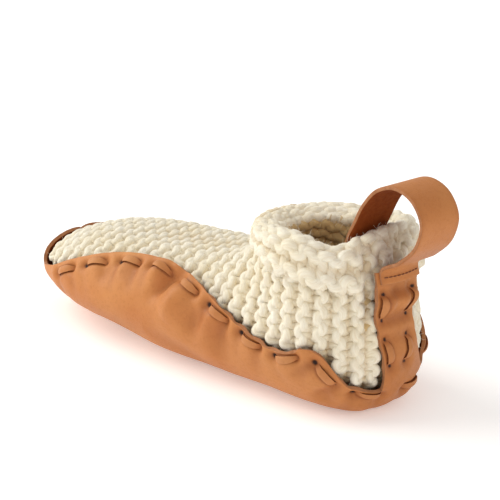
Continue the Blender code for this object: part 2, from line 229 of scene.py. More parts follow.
# %% A flat sheet laid in place
def sheet(name, across, down, place):
    """Grid of quads whose u and v run from 0 to 1, laid where place(u, v) says."""
    shape = bmesh.new()
    shape.loops.layers.uv.new("flat")
    bmesh.ops.create_grid(shape, x_segments=across, y_segments=down, size=0.5, calc_uvs=True)
    mesh = bpy.data.meshes.new(name)
    shape.to_mesh(mesh)
    shape.free()
    flat = np.empty(len(mesh.vertices) * 3)
    mesh.vertices.foreach_get("co", flat)
    u, v = flat[0::3] + 0.5, flat[1::3] + 0.5
    mesh.vertices.foreach_set("co", place(u, v).ravel())
    mesh.update()
    return mesh


def face_outward(mesh, inside=(0.09, 0.0, 0.03)):
    """Turns a sheet over if most of its faces point at a place inside the slipper."""
    votes = sum(f.normal.dot(f.center - Vector(inside)) for f in mesh.polygons)
    if votes < 0:
        mesh.flip_normals()
    return mesh


def show(name, mesh, *finishes):
    """Puts a finished mesh in the scene, riding on the slipper's one body."""
    piece = bpy.data.objects.new(name, mesh)
    bpy.context.scene.collection.objects.link(piece)
    for finish in finishes:
        mesh.materials.append(finish)
    mesh.shade_smooth()
    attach(piece, "root")
    return piece


def store(mesh, name, values, kind="FLOAT"):
    """Keeps a number or a vector for each vertex, for a material to read."""
    field = mesh.attributes.new(name, kind, "POINT")
    key = "value" if kind == "FLOAT" else "vector"
    field.data.foreach_set(key, np.asarray(values, np.float32).ravel())


def positions(mesh):
    flat = np.empty(len(mesh.vertices) * 3)
    mesh.vertices.foreach_get("co", flat)
    return flat.reshape(-1, 3)


print("sheets: laid by place(u, v), shown and slotted piece by piece")

# %% A bundle of strands
def strands(name, lines, thick, sides=8, cyclic=False):
    """Round strands along rows of (points, widths), made a mesh."""
    curve = bpy.data.curves.new(name, "CURVE")
    curve.dimensions = "3D"
    curve.bevel_depth = thick
    curve.bevel_resolution = (sides - 4) // 2
    for points, widths in lines:
        spline = curve.splines.new("POLY")
        spline.points.add(len(points) - 1)
        spline.points.foreach_set("co", np.hstack([points, np.ones((len(points), 1))]).ravel())
        spline.points.foreach_set("radius", np.asarray(widths, np.float32))
        spline.use_cyclic_u = cyclic
    holder = bpy.data.objects.new(name, curve)
    bpy.context.scene.collection.objects.link(holder)
    bpy.context.view_layer.update()
    ready = holder.evaluated_get(bpy.context.evaluated_depsgraph_get())
    mesh = bpy.data.meshes.new_from_object(ready)
    bpy.data.objects.remove(holder)
    bpy.data.curves.remove(curve)
    mesh.name = name
    return mesh


def strand_address(mesh, lines, thick, sides, stretch=0.14, twist=220.0):
    """A vector that runs slowly along each strand and fast round it, so that noise makes fibres."""
    run = []
    for points, _ in lines:
        steps = np.linalg.norm(np.diff(points, axis=0), axis=1)
        run.append(np.concatenate(([0.0], np.cumsum(steps))) + rng.uniform(0, 9))
    run = np.repeat(np.concatenate(run), sides)
    if len(run) != len(mesh.vertices):
        raise ValueError(f"{mesh.name}: {len(mesh.vertices)} vertices for {len(run)} addresses")
    turn = np.tile(np.arange(sides), len(run) // sides) * 2 * math.pi / sides + run * twist
    strand = np.stack([thick * np.cos(turn), thick * np.sin(turn), run * stretch], 1)
    store(mesh, "strand", strand, "FLOAT_VECTOR")


print("strands: round, with an address for their fibres")

# %% Shader maths as plain expressions
class Wire:
    """A node's output. Arithmetic on wires adds Math nodes, and node() adds any other node."""

    def __init__(self, tree, socket=None):
        self.tree = tree
        self.socket = socket

    def node(self, kind, settings=(), inputs=(), output=0):
        made = self.tree.nodes.new(kind)
        settings = dict(settings)
        stops = settings.pop("stops", ())
        for name, value in settings.items():
            setattr(made, name, value)
        for index, (place, colour) in enumerate(stops):
            elements = made.color_ramp.elements
            element = elements[index] if index < 2 else elements.new(place)
            element.position = place
            element.color = (*colour, 1.0)
        for name, value in dict(inputs).items():
            if isinstance(value, Wire):
                self.tree.links.new(value.socket, made.inputs[name])
            else:
                made.inputs[name].default_value = value
        return Wire(self.tree, made.outputs[output])

    def math(self, operation, first, second):
        return self.node("ShaderNodeMath", {"operation": operation}, {0: first, 1: second})

    def __add__(self, other):
        return self.math("ADD", self, other)

    def __sub__(self, other):
        return self.math("SUBTRACT", self, other)

    def __rsub__(self, other):
        return self.math("SUBTRACT", other, self)

    def __mul__(self, other):
        return self.math("MULTIPLY", self, other)

    __radd__ = __add__
    __rmul__ = __mul__

    def field(self, name, output="Fac"):
        return self.node("ShaderNodeAttribute", {"attribute_name": name}, output=output)

    def place(self):
        return self.node("ShaderNodeTexCoord", output="Object")

    def noise(self, where, scale, detail=4.0, rough=0.55):
        inputs = {"Vector": where, "Scale": scale, "Detail": detail, "Roughness": rough}
        return self.node("ShaderNodeTexNoise", inputs=inputs, output="Fac")

    def limits(self, low, high, bottom=0.0, top=1.0):
        """Spreads a stretch of values over another, with its ends held."""
        inputs = {"Value": self, 1: low, 2: high, 3: bottom, 4: top}
        return self.node("ShaderNodeMapRange", {"clamp": True}, inputs)

    def mix(self, other_colour, colour):
        """Colour where this factor is 0 and the other colour where it is 1."""
        inputs = {0: self, 6: colour, 7: other_colour}
        for key in (6, 7):
            if not isinstance(inputs[key], Wire):
                inputs[key] = (*inputs[key], 1.0)
        return self.node("ShaderNodeMix", {"data_type": "RGBA"}, inputs, output=2)

    def bump(self, strength, distance):
        inputs = {"Height": self, "Strength": strength, "Distance": distance}
        return self.node("ShaderNodeBump", inputs=inputs)


def finish(name, paint, **constants):
    """Principled material. paint(wire) gives links for its sockets, and the constants stay fixed."""
    made = bpy.data.materials.new(name)
    made.use_nodes = True
    tree = made.node_tree
    shader = tree.nodes["Principled BSDF"]
    for socket, value in constants.items():
        shader.inputs[socket.replace("_", " ")].default_value = value
    for socket, wire in paint(Wire(tree)).items():
        tree.links.new(wire.socket, shader.inputs[socket])
    return made


print("shader maths ready")

# %% [markdown]
# ## The wool
#
# The yarn is a soft, lightly felted single in natural cream. It could be one flat colour with a
# noise bump, but wool looks soft because shade falls warm and dark in its hollows while the crests
# stay pale, and because fine fibres run along the strand. So the material reads two things that the
# knitting leaves on the mesh: how deep a point lies, painted as shade, and its address on the strand.

# %% Wool finishes
CREAM = (0.92, 0.85, 0.67)
CREAM_SHADE = (0.62, 0.44, 0.21)
CREAM_PALE = (0.96, 0.92, 0.80)


def paint_wool(wire):
    deep = wire.field("deep")
    fibre = wire.noise(wire.field("strand", "Vector"), 1500.0, 5.0, 0.62)
    patch = wire.noise(wire.place(), 55.0, 3.0)
    pale = patch.limits(0.35, 0.7).mix(CREAM_PALE, CREAM)
    streaked = (fibre.limits(0.30, 0.62, 0.35, 0.0)).mix(CREAM_SHADE, pale)
    # Painted shade: the deeper a point lies in the hollows, the nearer its colour comes to CREAM_SHADE.
    colour = deep.limits(0.1, 1.3, 0.0, 1.0).mix(CREAM_SHADE, streaked)
    felt = wire.noise(wire.place(), 700.0, 4.0, 0.7)
    return {
        "Base Color": colour,
        "Roughness": fibre.limits(0.3, 0.7, 0.98, 0.86),
        "Normal": (fibre * 0.65 + felt * 0.35).bump(0.75, 0.0009),
    }


wool = finish("cream_wool", paint_wool, Sheen_Weight=0.3, Sheen_Roughness=0.5, Specular_IOR_Level=0.1)


# Painted shade: the felt behind the loops is a darker, warmer wool than the crests.
def paint_hollow_shade_wool(wire):
    loops = wire.noise(wire.place(), 160.0, 3.0)
    return {
        "Base Color": loops.limits(0.3, 0.7).mix((0.62, 0.47, 0.29), (0.46, 0.33, 0.19)),
        "Roughness": loops.limits(0.2, 0.8, 0.97, 0.9),
        "Normal": wire.noise(wire.place(), 420.0, 5.0, 0.7).bump(0.8, 0.0012),
    }


hollow_shade_wool = finish("wool_hollow", paint_hollow_shade_wool, Specular_IOR_Level=0.1)


def paint_fluff(wire):
    return {"Base Color": wire.noise(wire.place(), 90.0, 2.0).mix(CREAM_PALE, CREAM)}


fluff = finish("wool_fluff", paint_fluff, Roughness=0.95, Specular_IOR_Level=0.1)
print("wool finishes ready")

# %% [markdown]
# ## The leather
#
# Vegetable-tanned leather is warm orange tan, satin on its grain side, and fuzzy and brown on its
# flesh side. A cut edge shows the fibres. So one hide gives three finishes: grain, flesh and edge.
# Creases, grooves and holes are kept on the mesh as numbers when the leather is shaped, and the
# grain finish paints shade there. It also paints shade over the heel end, fading towards the toe.

# %% Leather finishes
TAN = (0.56, 0.200, 0.050)
TAN_PALE = (0.66, 0.280, 0.086)
TAN_DEEP = (0.28, 0.080, 0.022)
THONG_TAN = (0.57, 0.225, 0.072)
THONG_PALE = (0.63, 0.285, 0.105)
# HOLE_SHADE: painted shade inside the lace holes.
HOLE_SHADE = (0.030, 0.010, 0.005)
# HEEL_SHADE: how much painted shade the grain gets at the heel end.
HEEL_SHADE = 0.27


def grain_paint(tan, pale, deep):
    def paint(wire):
        place = wire.place()
        cloud = wire.noise(place, 26.0, 4.0)
        speck = wire.noise(place, 520.0, 5.0, 0.7)
        crease_shade = wire.field("crease_shade")
        hole_shade = wire.field("hole_shade")
        ahead = wire.node("ShaderNodeSeparateXYZ", {}, {"Vector": place})
        base = cloud.limits(0.32, 0.68).mix(pale, tan)
        # Painted shade: darkest behind x = 0, fading out by x = 0.19, so the toe stays paler as the lit
        # end.
        base = ahead.limits(0.0, 0.19, HEEL_SHADE, 0.0).mix(deep, base)
        base = speck.limits(0.50, 0.78, 0.0, 0.28).mix(deep, base)
        # Painted shade in creases, grooves and fold valleys.
        base = crease_shade.limits(0.0, 1.0, 0.0, 0.75).mix(deep, base)
        # Painted shade inside the holes.
        base = hole_shade.limits(0.35, 0.75).mix(HOLE_SHADE, base)
        cells = wire.node(
            "ShaderNodeTexVoronoi", {"feature": "DISTANCE_TO_EDGE"}, {"Vector": place, "Scale": 950.0}
        )
        grain = cells.limits(0.0, 0.18) * 0.4 + wire.noise(place, 240.0, 6.0, 0.65) * 0.6
        return {
            "Base Color": base,
            "Roughness": cloud.limits(0.3, 0.7, 0.46, 0.60) + speck.limits(0.4, 0.7, 0.0, 0.08),
            "Normal": grain.bump(0.22, 0.0007),
        }

    return paint


grain = finish("tan_leather_grain", grain_paint(TAN, TAN_PALE, TAN_DEEP), Specular_IOR_Level=0.30)
thong_grain = finish(
    "thong_leather", grain_paint(THONG_TAN, THONG_PALE, TAN_DEEP), Specular_IOR_Level=0.25
)


def flesh_paint(dark, light):
    def paint(wire):
        nap = wire.noise(wire.place(), 380.0, 6.0, 0.75)
        return {
            "Base Color": nap.limits(0.3, 0.72).mix(light, dark),
            "Roughness": nap.limits(0.3, 0.7, 0.95, 0.82),
            "Normal": nap.bump(0.5, 0.0006),
        }

    return paint


flesh = finish(
    "leather_flesh", flesh_paint((0.19, 0.038, 0.007), (0.27, 0.064, 0.014)), Specular_IOR_Level=0.05
)
cut_edge = finish("leather_cut_edge", flesh_paint((0.30, 0.115, 0.042), (0.46, 0.195, 0.080)))
# The thong's cut edge is darker leather, and painted darker still as a shadow outline where it meets the
# hide.
thong_edge_and_shade = finish(
    "thong_cut_edge", flesh_paint((0.10, 0.028, 0.010), (0.20, 0.065, 0.024)), Specular_IOR_Level=0.1
)
footbed = finish("insole_leather", grain_paint((0.34, 0.15, 0.07), (0.42, 0.20, 0.10), (0.16, 0.06, 0.03)))
thread = finish("waxed_thread", flesh_paint((0.13, 0.045, 0.020), (0.24, 0.090, 0.040)))
print("leather finishes ready")

# %% [markdown]
# ## Where the lace goes
#
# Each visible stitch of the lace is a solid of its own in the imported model. Its five cross
# sections give the line that the thong follows, and its two ends are the holes in the leather.
# Both the leather and the thong are shaped from those lines, so they always agree.

# %% Read the lace line from the solids
LACE_SECTIONS = 5
FORM_POINTS = SKIN.reshape(-1, 3)
FORM_NORMALS = SKIN_OUT.reshape(-1, 3)


def lace_line(node):
    """Centres of a lace stitch's cross sections, and the last's normal at its middle."""
    corners = np.array([v.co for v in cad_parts[node].data.vertices], float)
    corners = np.unique(corners.round(6), axis=0)
    middle = corners.mean(0)
    run = (corners - middle) @ np.linalg.svd(corners - middle)[2][0]
    groups = np.array_split(corners[np.argsort(run)], LACE_SECTIONS)
    nearest = np.argmin(np.sum((FORM_POINTS - middle) ** 2, axis=1))
    return np.array([g.mean(0) for g in groups]), FORM_NORMALS[nearest]


lace = {n: lace_line(n) for n in sorted(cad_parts) if n.startswith("lace_")}
STITCH_LENGTH = np.mean([np.linalg.norm(line[-1] - line[0]) for line, _ in lace.values()])
print("lace stitches:", len(lace), "of", round(STITCH_LENGTH * 1000, 1), "mm")

# %% [markdown]
# ## Shaping the leather
#
# The lace gathers the leather: each hole sinks, the leather puckers round it, and a soft trough
# runs down from it, while the hem swells a little between the holes, and a thin groove lies along
# both sides of each stitch, where the thong presses in. Cloth simulation could pull
# a sheet by its lace, but these gathers are few and have known places, so each is pressed in
# where it lies, and the flat sheet keeps even faces.

# %% The pull of the lace
HOLE_DEPTH = 0.0027
HOLE_WIDE = 0.0028
HOLE_SHOWS = 0.0009
PUCKER = 0.0062
TROUGH_DEPTH = 0.0010
TROUGH_WIDE = 0.0034
TROUGH_LONG = 0.020
THONG_WIDE = 0.0036
GROOVE_WIDE = 0.0009
GROOVE_DEPTH = 0.0006
TAB_HOLE_SHOWS = 0.0001
TAB_HOLE_SHARE = 0.6
# DARK_HOLE and DARK_TAB_HOLE: widths of the painted shade in the holes.
DARK_HOLE = 0.0021
DARK_TAB_HOLE = 0.0014
HOLE_REACH = 0.030
GATHER = 0.14
GATHER_WIDE = 0.0075
HEM_SWELL = 0.0013
HEM_SWELL_WIDE = 0.0085


def away_from_hem(line, normal):
    """Unit vectors of a stitch: along it, and over the leather away from the hem."""
    ahead = line[-1] - line[0]
    ahead /= np.linalg.norm(ahead)
    away = np.cross(normal, ahead)
    climbs = abs(ahead[2]) > 0.8
    wrong = away[1] * line[2][1] > 0 if climbs else away[2] > 0
    return ahead, -away if wrong else away


def lace_pull(points):
    """Lift along the normal, slide over the surface, and painted shade of holes and creases, for each
    point.
    """
    lift = np.zeros(len(points))
    slide = np.zeros((len(points), 3))
    hole_shade = np.zeros(len(points))
    crease_shade = np.zeros(len(points))
    for k, (line, normal) in enumerate(lace.values()):
        ahead, away = away_from_hem(line, normal)
        vary = 0.3 + 1.2 * math.sin(2.1 * k + 0.6) ** 2
        climbs = abs(ahead[2]) > 0.8
        for end, outward in ((line[0], -ahead), (line[-1], ahead)):
            shown = climbs or outward[0] > 0
            end = end + outward * (TAB_HOLE_SHOWS if climbs else HOLE_SHOWS if shown else -HOLE_SHOWS)
            gap = points - end
            gap -= np.outer(gap @ normal, normal)
            far = np.linalg.norm(gap, axis=1)
            reach = np.linalg.norm(points - end, axis=1) < HOLE_REACH
            near = np.exp(-((far / HOLE_WIDE) ** 2)) * reach
            lift -= HOLE_DEPTH * near * (TAB_HOLE_SHARE if climbs else 1.0)
            lift += 0.0004 * np.exp(-(((far - PUCKER) / 0.0028) ** 2)) * reach
            slide -= gap * (GATHER * np.exp(-((far / GATHER_WIDE) ** 2)) * reach)[:, None]
            dark = DARK_TAB_HOLE if climbs else DARK_HOLE
            # Painted shade in the hole, half as strong where the hole's end is hidden.
            hole_shade = np.maximum(hole_shade, np.exp(-((far / dark) ** 2)) * reach * (1.0 if shown else 0.5))
            beside, down = gap @ ahead, gap @ away
            trough = np.exp(-((beside / TROUGH_WIDE) ** 2)) * ramp(down, -0.001, 0.004)
            trough *= (1 - ramp(down, 0.006, TROUGH_LONG)) * reach * vary
            lift -= TROUGH_DEPTH * trough
            # Painted shade in the trough below each hole, and round the hole itself.
            crease_shade = np.maximum(crease_shade, 0.45 * trough)
            crease_shade = np.maximum(crease_shade, 0.8 * near)
        run = points - line[0]
        t = run @ ahead / np.linalg.norm(line[-1] - line[0])
        edge = (np.abs(run @ away) - THONG_WIDE / 2) / GROOVE_WIDE
        groove = np.exp(-(edge**2)) * ramp(t, -0.05, 0.12) * (1 - ramp(t, 0.88, 1.05))
        groove *= np.linalg.norm(points - line[2], axis=1) < 0.012
        lift -= GROOVE_DEPTH * groove
        # Painted shadow in the grooves along both sides of the stitch.
        crease_shade = np.maximum(crease_shade, 1.15 * groove)
        gap = points - line[2] - away * 0.006
        lift += HEM_SWELL * vary * np.exp(-((np.linalg.norm(gap, axis=1) / HEM_SWELL_WIDE) ** 2))
    return lift, slide, hole_shade, crease_shade


print("gathers at", 2 * len(lace), "holes, each", HOLE_DEPTH * 1000, "mm deep")


# %% Folds that the hide keeps
FOLD_STRENGTH = 2.1
FOLDS = (
    # along  share  along  share  width  depth
    (0.419, 0.575, 0.468, 0.725, 0.0040, 0.0030),
    (0.400, 0.640, 0.440, 0.700, 0.0070, -0.0016),
    (0.452, 0.500, 0.486, 0.640, 0.0065, -0.0022),
    (0.500, 0.450, 0.520, 0.580, 0.0050, 0.0016),
    (0.300, 0.560, 0.315, 0.660, 0.0050, 0.0012),
    (0.360, 0.600, 0.345, 0.690, 0.0050, 0.0010),
    (0.545, 0.360, 0.570, 0.540, 0.0065, 0.0014),
    (0.500, 0.300, 0.400, 0.420, 0.0090, 0.0012),
    (0.250, 0.350, 0.400, 0.400, 0.0100, 0.0010),
    (0.735, 0.020, 0.752, 0.190, 0.0035, 0.0014),
    (0.700, 0.200, 0.745, 0.260, 0.0050, 0.0012),
    (0.836, -0.085, 0.838, 0.085, 0.0012, 0.0004),
    (0.210, -0.360, 0.330, -0.480, 0.0080, 0.0012),
    (0.410, -0.350, 0.455, -0.520, 0.0050, 0.0014),
    (0.560, -0.300, 0.600, -0.470, 0.0060, 0.0012),
    (0.700, -0.200, 0.745, -0.280, 0.0050, 0.0012),
)


def hide_folds(points):
    """Lift and painted crease shade of the folds: each is a soft valley along a line on the last."""
    lift = np.zeros(len(points))
    crease_shade = np.zeros(len(points))
    for along_a, share_a, along_b, share_b, width, depth in FOLDS:
        start, end = on_form(np.array([along_a, along_b]), np.array([share_a, share_b]), SOLE_LINE)[0]
        run = end - start
        long = np.linalg.norm(run)
        t = np.clip((points - start) @ run / long**2, 0, 1)
        gap = points - start - np.outer(t, run)
        body = np.exp(-(np.sum(gap**2, axis=1) / width**2)) * np.sin(math.pi * (0.08 + 0.84 * t))
        lift -= FOLD_STRENGTH * depth * body
        # Painted shade in the valley of each fold.
        crease_shade = np.maximum(crease_shade, 0.35 * body * (depth > 0))
    return lift, crease_shade


def soft_swell(points):
    """Slow unevenness of a hide stretched by hand."""
    x, y, z = points.T
    slow = np.sin(x / 0.0105 + 1.1) * np.cos(z / 0.0085 + y / 0.019)
    quick = np.sin(x / 0.0048 + z / 0.0061 + 2.0) * np.cos(y / 0.0052 - x / 0.012)
    return 0.00055 * slow + 0.00018 * quick


print("folds laid by hand:", len(FOLDS))

# %% [markdown]
# ## Cutting and closing the sole
#
# On the real slipper one hide wraps the toe, the sides and the heel, and its tab climbs the back
# of the heel. It is made as two grids, body and tab, that share their row at the heel's neck. At
# the toe the body's two sides meet over the front, and their first row is drawn to one point.
# Solidify then gives the hide its 1.8 mm, inwards, with the flesh and the cut edge in their own
# finishes, and a small Bevel rounds the edge as a hand-held bone folder would.

# %% Outline of the leather
SOLE_START = 0.004
SOLE_ACROSS = 144
SOLE_ALONG = 270
TAB_ALONG = 72
HEEL_RISE = 0.032
NECK_SHARE_OF_ROW = 1 / 6
CUFF_LOW = 0.906
CUFF_THICK = 0.0058
CUFF_TUCKED = 0.0032
TAB = np.array(
    (
        # along  half
        (0.768, 0.062),
        (0.800, 0.064),
        (0.845, 0.088),
        (0.880, 0.104),
        (0.952, 0.104),
    )
)
TAB_SKIRT = np.array(
    (
        # along  half
        (0.768, 0.165),
        (0.790, 0.135),
        (0.813, 0.110),
        (0.845, 0.095),
        (0.880, 0.104),
        (0.952, 0.104),
    )
)
NECK, TAB_TOP = TAB[0, 0], TAB[-1, 0]


def heel_rise(along, share):
    """How much higher the hem stands at the corners beside the tab, rounded at their outer side."""
    size = np.abs(share)
    corner = ramp(size, 0.16, 0.30) * (1 - 0.5 * ramp(size, 0.32, 0.39))
    return HEEL_RISE * ramp(along, NECK - 0.09, NECK) * corner


def tab_half(along, share):
    """Half width of the tab as a share of the ring: on the right it spreads into a skirt."""
    at = np.clip(along, NECK, TAB_TOP)
    left = smooth_through(TAB[:, 0], TAB[:, 1], at)
    right = smooth_through(TAB_SKIRT[:, 0], TAB_SKIRT[:, 1], at)
    return np.where(np.asarray(share) < 0, right, left)


def sole_lift(along):
    """How far the leather stands off the knit: at the tab's top it passes over the cuff."""
    return KNIT_GAP + (KNIT_GAP + CUFF_TUCKED) * ramp(along, CUFF_LOW - 0.035, CUFF_LOW - 0.005)


TOE_CAP = 1.0
HEM_HUG = 0.0018
PLEATS = 3.2
PLEAT_DEPTH = 0.0009
FAR_HEM = np.array(
    (
        # along  share
        (0.000, 0.050),
        (0.066, 0.050),
        (0.085, 0.010),
        (0.100, -0.035),
        (0.130, -0.060),
        (0.180, -0.030),
        (0.420, -0.028),
        (0.500, 0.000),
        (1.000, 0.000),
    )
)


def hem_share(along, side):
    """How far up the girth the hem lies: it caps the toe's front and hugs the far side."""
    left = form_at(LEFT, along)
    right = form_at(RIGHT, along) + np.interp(along, FAR_HEM[:, 0], FAR_HEM[:, 1])
    reach = np.where(side > 0, left, right)
    return reach + (TOE_CAP - reach) * (1 - ramp(along, 0.038, 0.066))


def lay_sole(u, v):
    u = 2 * u - 1
    along = SOLE_START + (NECK - SOLE_START) * v
    reach = hem_share(along, u)
    even = reach * NECK_SHARE_OF_ROW
    inner = even + (tab_half(NECK, u) - even) * ramp(along, NECK - 0.16, NECK)
    size = np.abs(u)
    outer = inner + (reach - inner) * (size - NECK_SHARE_OF_ROW) / (1 - NECK_SHARE_OF_ROW)
    share = np.sign(u) * np.where(size < NECK_SHARE_OF_ROW, inner * size / NECK_SHARE_OF_ROW, outer)
    hug = HEM_HUG * ramp(along, 0.045, 0.070) * (1 - ramp(along, 0.42, 0.50)) * ramp(-u, 0.75, 0.95)
    points, out = on_form(along + heel_rise(along, share), share, KNIT_GAP + LEATHER - hug)
    tip = points[v == 0].mean(0)
    return tip + (points - tip) * ramp(v, 0.0, 1.5 / SOLE_ALONG)[:, None], out


def lay_tab(u, v):
    along = NECK + (TAB_TOP - NECK) * v
    share = tab_half(along, 2 * u - 1) * (2 * u - 1)
    points, out = on_form(along, share, sole_lift(along) + LEATHER)
    pleat = np.sin(math.pi * (2 * u - 1) * PLEATS)
    pleat *= ramp(along, 0.868, 0.885) * (1 - ramp(along, 0.915, 0.936))
    return points - out * (PLEAT_DEPTH * pleat)[:, None], out


def shape_leather(points, out):
    """All the gathers and folds of the hide, less and less towards the flat of the sole."""
    lift, slide, hole_shade, crease_shade = lace_pull(points)
    fold, fold_crease_shade = hide_folds(points)
    side = ramp(out[:, 2], -0.85, -0.35)
    moved = points + slide + out * ((lift + fold + soft_swell(points) * side))[:, None]
    moved[:, 2] = np.maximum(moved[:, 2], 0.0)
    return moved, hole_shade, np.maximum(crease_shade, fold_crease_shade)


print("hem at the ball, left and right:", [round(float(hem_share(0.33, side)), 3) for side in (1, -1)])

# %% The hide
def leather_wrap():
    kept = {}

    def lay(which, place):
        def put(u, v):
            points, out = place(u, v)
            moved, hole_shade, crease_shade = shape_leather(points, out)
            kept[which] = hole_shade, crease_shade
            return moved

        return put

    body = sheet("sole_body", SOLE_ACROSS, SOLE_ALONG, lay("body", lay_sole))
    tab = sheet("sole_tab", SOLE_ACROSS // 6, TAB_ALONG, lay("tab", lay_tab))
    for mesh, which in ((body, "body"), (tab, "tab")):
        store(mesh, "hole_shade", kept[which][0])
        store(mesh, "crease_shade", kept[which][1])
    joined = bmesh.new()
    joined.from_mesh(body)
    joined.from_mesh(tab)
    bmesh.ops.remove_doubles(joined, verts=joined.verts, dist=0.00012)
    bmesh.ops.recalc_face_normals(joined, faces=joined.faces)
    mesh = bpy.data.meshes.new("leather_wrap")
    joined.to_mesh(mesh)
    joined.free()
    return face_outward(mesh)


def give_thickness(piece, thickness, offset=-1.0, edge=1, inner=1, round_by=0.0003):
    """Solidify with the hide's own finishes for its other side and its edge, and a rounded edge."""
    wall = piece.modifiers.new("thickness", "SOLIDIFY")
    wall.thickness = thickness
    wall.offset = offset
    wall.use_quality_normals = True
    wall.material_offset = inner
    wall.material_offset_rim = edge
    soften = piece.modifiers.new("rounded edge", "BEVEL")
    soften.width = round_by
    soften.segments = 2
    soften.limit_method = "ANGLE"
    soften.angle_limit = math.radians(55)
    soften.use_clamp_overlap = True


wrap = show("leather_wrap", leather_wrap(), grain, flesh, cut_edge)
give_thickness(wrap, LEATHER, edge=2, inner=1)
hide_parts("leather_sole")
print("leather faces:", len(wrap.data.polygons))

# %% [markdown]
# ## The lace
#
# A flat thong of the same leather, 3.6 mm wide, comes up through one hole and goes down through
# the next. Only those stitches show. Each is a little grid that follows its line, domed across and
# pinched where it dives into the holes, so that it looks pulled through. The solid's line doesn't
# know the folds, so a ray finds the shaped leather under each point and the thong lies on that.

# %% Thong stitches
THONG_THICK = 0.0013
THONG_DIVE = 0.0020
THONG_PROUD = 0.0005
THONG_ACROSS = 6
THONG_ALONG = 26
THONG_DOME = 0.0003
NARROW_THONG = "lace_left_10"
NARROW_SHARE = 0.62
NARROW_SHIFT = 0.0013
RAY_START = 0.010

faces = [list(f.vertices) for f in wrap.data.polygons]
hide = BVHTree.FromPolygons(positions(wrap.data).tolist(), faces)


def above_hide(points, normal):
    """How far each point must rise along the normal to lie on the shaped leather."""
    down = Vector(-normal)
    hits = [hide.ray_cast(Vector(q + normal * RAY_START), down, 2 * RAY_START)[3] for q in points]
    return np.array([0.0 if far is None else RAY_START - far for far in hits])


def thong(node, line, normal):
    ahead, away = away_from_hem(line, normal)
    spots = np.linspace(0.0, 1.0, LACE_SECTIONS)

    def place(u, v):
        t = 0.04 + 0.92 * v
        middle = np.stack([np.polyval(np.polyfit(spots, line[:, k], 2), t) for k in range(3)], 1)
        rise = ramp(v, 0.0, 0.20) * (1 - ramp(v, 0.80, 1.0))
        pinch = 0.66 + 0.34 * ramp(v, 0.06, 0.32) * (1 - ramp(v, 0.68, 0.94))
        across = (u - 0.5) * THONG_WIDE * pinch * (NARROW_SHARE if node == NARROW_THONG else 1.0)
        across -= NARROW_SHIFT * (node == NARROW_THONG)
        dome = THONG_DOME * (1 - (2 * u - 1) ** 2)
        spot = middle + np.outer(across, away)
        ground = above_hide(spot, normal).reshape(-1, THONG_ACROSS + 1)
        even = np.repeat(ground.mean(1), THONG_ACROSS + 1)
        height = np.maximum(0.6 * even + 0.4 * ground.ravel(), ground.ravel() - 0.0002)
        return spot + np.outer(height + THONG_PROUD + dome + THONG_DIVE * (rise - 1), normal)

    name = node.replace("lace", "thong")
    mesh = sheet(name, THONG_ACROSS, THONG_ALONG, place)
    votes = sum(f.normal.dot(Vector(normal)) for f in mesh.polygons)
    if votes < 0:
        mesh.flip_normals()
    # Painted shade at both ends, where the thong dives into its holes.
    ends = np.abs(np.linspace(0, 1, THONG_ALONG + 1)[:, None] - 0.5) * 2 * np.ones(THONG_ACROSS + 1)
    store(mesh, "crease_shade", ramp(ends.ravel(), 0.72, 1.0))
    store(mesh, "hole_shade", ramp(ends.ravel(), 0.90, 1.02) * 0.8)
    piece = show(name, mesh, thong_grain, thong_edge_and_shade)
    give_thickness(piece, THONG_THICK, 0.0, edge=1, inner=0, round_by=0.00028)
    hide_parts(node)


for node, (line, normal) in lace.items():
    thong(node, line, normal)
print("thong stitches:", len(lace))

# %% [markdown]
# ## The pull loop
#
# A 25 mm strap is sewn to the top of the tab, stands out over the cuff as a finger loop, and
# goes down inside the collar. Its grain side faces out and its flesh side, dark and matt, faces
# into the loop. A curve with a flat profile could make it, but the strap also follows the round
# of the heel at both ends, so it is a grid laid along its route.

# %% Route of the strap
STRAP_WIDTH = 0.025
STRAP_THICK = 0.0019
STRAP_GAP = 0.0008
STRAP_START = 0.930
STRAP_END = 0.950
CUFF_INSIDE = 0.0046
LOOP_RISE = 0.033
LOOP_REACH = 0.033
STRAP_ROUTE = (
    # behind  above
    (0.62, -0.08),
    (0.96, 0.26),
    (1.04, 0.58),
    (0.86, 0.88),
    (0.52, 1.00),
    (0.18, 0.90),
    (-0.10, 0.62),
    (-0.26, 0.34),
)
STRAP_COLUMNS = 16
STRAP_ROWS = 120


def skin_row(along, lift, sides):
    """Points of a skin at one ring, at given distances to the side of the middle."""
    shares = np.linspace(0.0, 0.45, 91)
    reached = on_form(along, shares, lift)[0][:, 1]
    found = np.interp(np.abs(sides), reached, shares) * np.sign(sides)
    return on_form(along, found, lift)[0]


def strap_layer():
    """Rows of points of the strap's middle layer, from the tab round to the inside of the collar."""
    half = STRAP_GAP + STRAP_THICK / 2
    inside = -KNIT_WALL - KNIT_GAP - CUFF_INSIDE - half
    sides = np.linspace(-STRAP_WIDTH / 2, STRAP_WIDTH / 2, STRAP_COLUMNS + 1)
    rim = on_form(1.0, 0.0)[0]
    route = [skin_row(a, sole_lift(a) + LEATHER + half, sides) for a in (STRAP_START, TAB_TOP)]
    for behind, above in STRAP_ROUTE:
        x, z = rim[0] - LOOP_REACH * behind, rim[2] + LOOP_RISE * above
        route.append(np.array([(x, y, z) for y in sides]))
    route += [skin_row(a, inside, sides) for a in (1.0, STRAP_END)]
    route = np.array(route)
    middle = route[:, STRAP_COLUMNS // 2]
    run = np.concatenate(([0.0], np.cumsum(np.linalg.norm(np.diff(middle, axis=0), axis=1))))
    rows = smooth_through(run, route.reshape(len(run), -1), np.linspace(0.0, run[-1], STRAP_ROWS + 1))
    return rows.reshape(STRAP_ROWS + 1, STRAP_COLUMNS + 1, 3), run[-1]


strap_points, strap_length = strap_layer()


